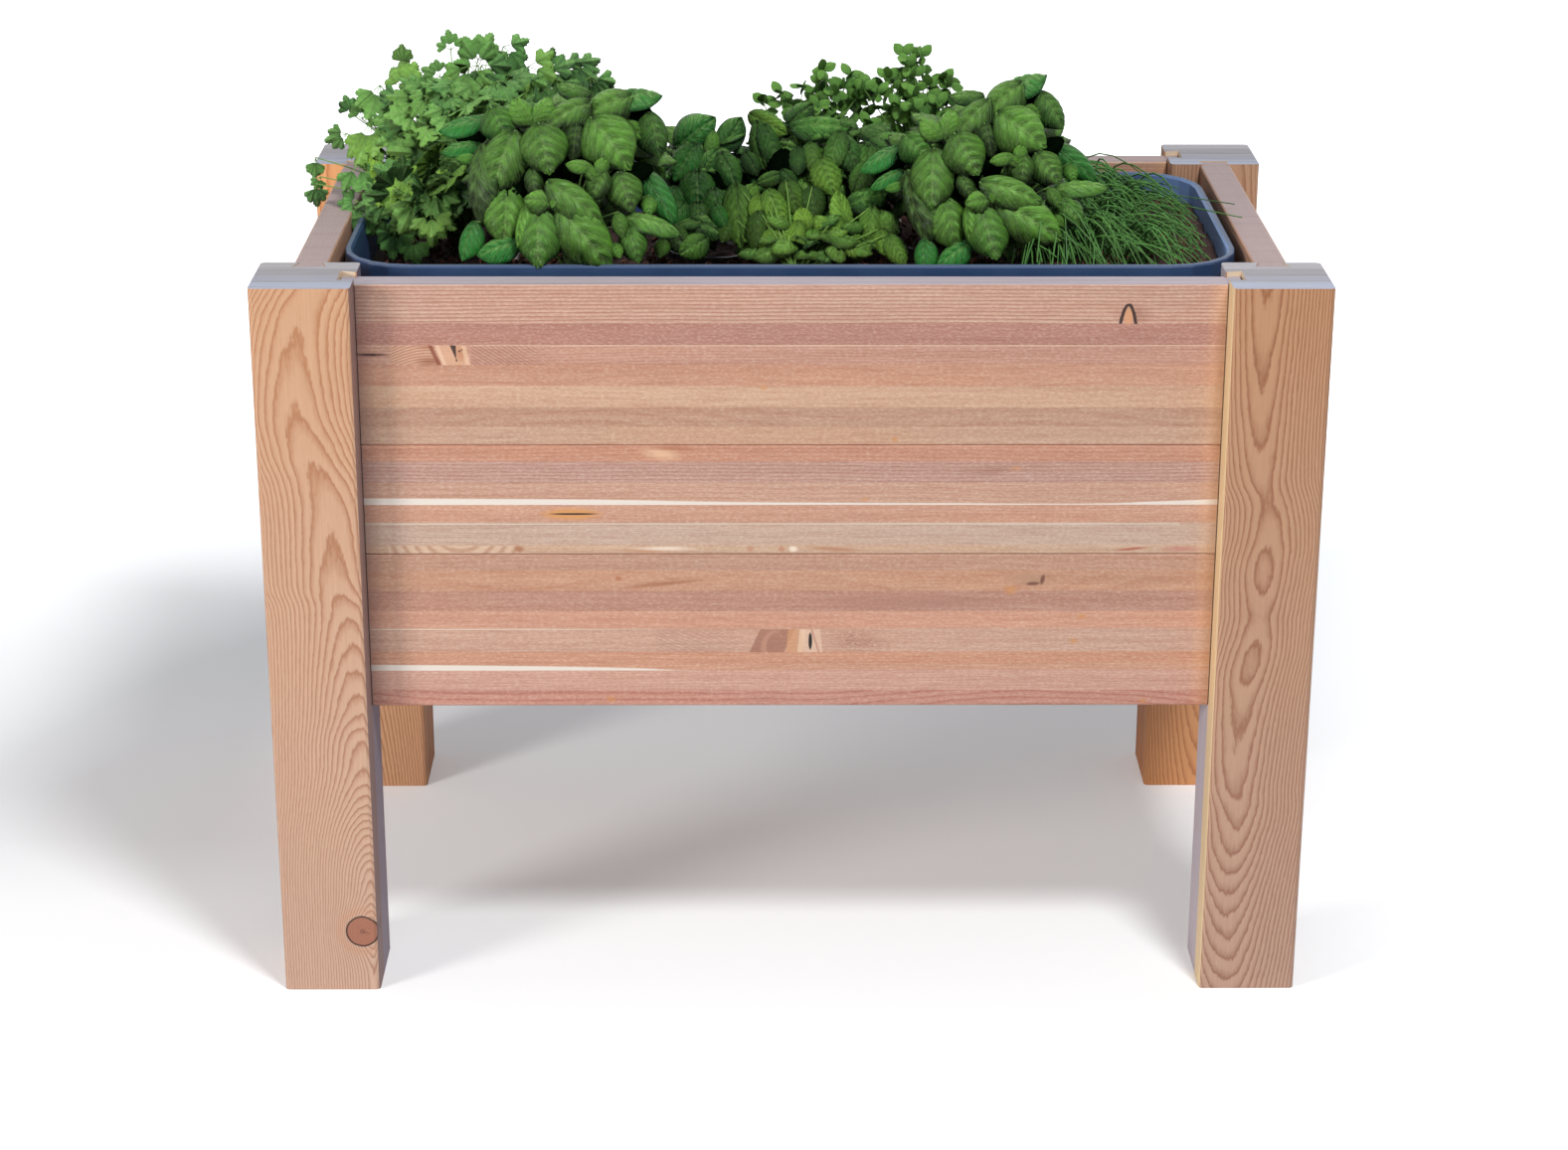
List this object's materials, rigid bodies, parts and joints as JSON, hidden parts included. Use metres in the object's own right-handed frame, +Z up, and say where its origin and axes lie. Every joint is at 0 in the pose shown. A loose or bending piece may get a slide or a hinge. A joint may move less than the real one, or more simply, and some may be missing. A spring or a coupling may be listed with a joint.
{
  "type": "raised planter",
  "caption": "Raised wooden planter on square post legs, board walls in sliding dovetail grooves, lift-out plastic tub filled with soil and growing herbs.",
  "frame": {"origin": "on the ground, below the middle of the four posts", "axes": "+X along the length to the right, +Y from the front wall to the rear wall, +Z up"},
  "size_m": [1, 0.59, 0.9153],
  "materials": {
    "posts": "matte",
    "boards": "matte",
    "inner_wood": "matte",
    "screws": "satin",
    "tub": "satin",
    "pot": "satin",
    "soil": "matte",
    "basil": "satin",
    "parsley": "satin",
    "balm": "satin",
    "oregano": "satin",
    "chives": "satin"
  },
  "bodies": {
    "wooden_frame": {"floor_slat_1": "inner_wood", "floor_slat_2": "inner_wood", "floor_slat_3": "inner_wood", "floor_slat_4": "inner_wood", "floor_slat_5": "inner_wood", "floor_slat_6": "inner_wood", "floor_slat_7": "inner_wood", "front_board_bottom": "boards", "front_board_middle": "boards", "front_board_top": "boards", "front_ledger": "inner_wood", "front_ledger_screw_1": "screws", "front_ledger_screw_2": "screws", "front_ledger_screw_3": "screws", "front_ledger_screw_4": "screws", "front_left_post": "posts", "front_right_post": "posts", "front_slat_screw_1": "screws", "front_slat_screw_2": "screws", "front_slat_screw_3": "screws", "front_slat_screw_4": "screws", "front_slat_screw_5": "screws", "front_slat_screw_6": "screws", "front_slat_screw_7": "screws", "left_board_bottom": "boards", "left_board_middle": "boards", "left_board_top": "boards", "rear_board_bottom": "boards", "rear_board_middle": "boards", "rear_board_top": "boards", "rear_ledger": "inner_wood", "rear_ledger_screw_1": "screws", "rear_ledger_screw_2": "screws", "rear_ledger_screw_3": "screws", "rear_ledger_screw_4": "screws", "rear_left_post": "posts", "rear_right_post": "posts", "rear_slat_screw_1": "screws", "rear_slat_screw_2": "screws", "rear_slat_screw_3": "screws", "rear_slat_screw_4": "screws", "rear_slat_screw_5": "screws", "rear_slat_screw_6": "screws", "rear_slat_screw_7": "screws", "right_board_bottom": "boards", "right_board_middle": "boards", "right_board_top": "boards"},
    "tub": {"liner_tub": "tub", "soil_bed": "soil", "nursery_pot": "pot", "basil_left": "basil", "basil_right": "basil", "basil_small": "basil", "chives": "chives", "lemon_balm": "balm", "oregano_left": "oregano", "oregano_right": "oregano", "parsley": "parsley", "salad_rosette": "balm"}
  },
  "joints": [
    {"name": "liner_lift", "type": "slide", "parent": "wooden_frame", "child": "tub", "axis": [0, 0, 1], "range_m": [0, 0.45]}
  ]
}
